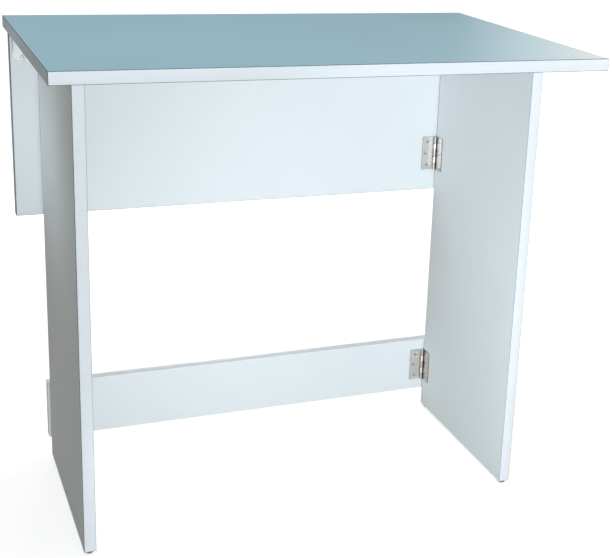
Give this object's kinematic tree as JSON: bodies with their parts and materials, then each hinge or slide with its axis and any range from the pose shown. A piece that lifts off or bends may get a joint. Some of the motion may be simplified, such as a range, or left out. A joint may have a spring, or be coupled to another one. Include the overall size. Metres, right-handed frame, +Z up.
{
  "type": "folding desk",
  "caption": "Folding desk of white board whose panel legs swing in on butt hinges against a back apron and stretcher, under a lift-off top.",
  "frame": {"origin": "on the floor, under the middle of the desk top", "axes": "+X to the sitter's right along the top, +Y from the sitter's side to the apron, +Z up"},
  "size_m": [0.8, 0.5, 0.745],
  "materials": {
    "white_melamine": "smooth white melamine facing on chipboard",
    "white_edging": "satin white edge banding",
    "nickel_steel": "nickel-plated pressed steel",
    "zinc_steel": "zinc-plated steel",
    "white_steel": "white enamelled steel",
    "white_plastic": "moulded white plastic",
    "grey_plastic": "moulded grey plastic"
  },
  "bodies": {
    "back_frame": {"apron_bottom_band": "white_edging", "apron_left_band": "white_edging", "apron_panel": "white_melamine", "apron_right_band": "white_edging", "frame_hinge_screws": "zinc_steel", "hook_screws": "white_steel", "left_lower_hinge_frame_leaf": "nickel_steel", "left_lower_hinge_pin": "nickel_steel", "left_upper_hinge_frame_leaf": "nickel_steel", "left_upper_hinge_pin": "nickel_steel", "right_lower_hinge_frame_leaf": "nickel_steel", "right_lower_hinge_pin": "nickel_steel", "right_upper_hinge_frame_leaf": "nickel_steel", "right_upper_hinge_pin": "nickel_steel", "stretcher_bottom_band": "white_edging", "stretcher_left_band": "white_edging", "stretcher_panel": "white_melamine", "stretcher_right_band": "white_edging", "stretcher_top_band": "white_edging"},
    "left_leg": {"left_front_glide": "grey_plastic", "left_glide_nails": "zinc_steel", "left_leg_bottom_band": "white_edging", "left_leg_front_band": "white_edging", "left_leg_hinge_screws": "zinc_steel", "left_leg_panel": "white_melamine", "left_leg_rear_band": "white_edging", "left_lower_hinge_leg_leaf": "nickel_steel", "left_rear_glide": "grey_plastic", "left_upper_hinge_leg_leaf": "nickel_steel"},
    "right_leg": {"right_front_glide": "grey_plastic", "right_glide_nails": "zinc_steel", "right_leg_bottom_band": "white_edging", "right_leg_front_band": "white_edging", "right_leg_hinge_screws": "zinc_steel", "right_leg_panel": "white_melamine", "right_leg_rear_band": "white_edging", "right_lower_hinge_leg_leaf": "nickel_steel", "right_rear_glide": "grey_plastic", "right_upper_hinge_leg_leaf": "nickel_steel"},
    "desktop": {"bracket_screws": "zinc_steel", "desktop_front_band": "white_edging", "desktop_left_band": "white_edging", "desktop_panel": "white_melamine", "desktop_rear_band": "white_edging", "desktop_right_band": "white_edging", "left_hook_bracket": "white_plastic", "right_hook_bracket": "white_plastic"}
  },
  "joints": [
    {"name": "left_leg_fold", "type": "hinge", "parent": "back_frame", "child": "left_leg", "pos_m": [-0.33465, 0.18165, 0.367], "axis": [0, 0, 1], "range_deg": [0, 90]},
    {"name": "right_leg_fold", "type": "hinge", "parent": "back_frame", "child": "right_leg", "pos_m": [0.33465, 0.18165, 0.367], "axis": [0, 0, -1], "range_deg": [0, 90]},
    {"name": "top_lift", "type": "slide", "parent": "back_frame", "child": "desktop", "axis": [0, 0, 1], "range_m": [0, 0.06]}
  ]
}
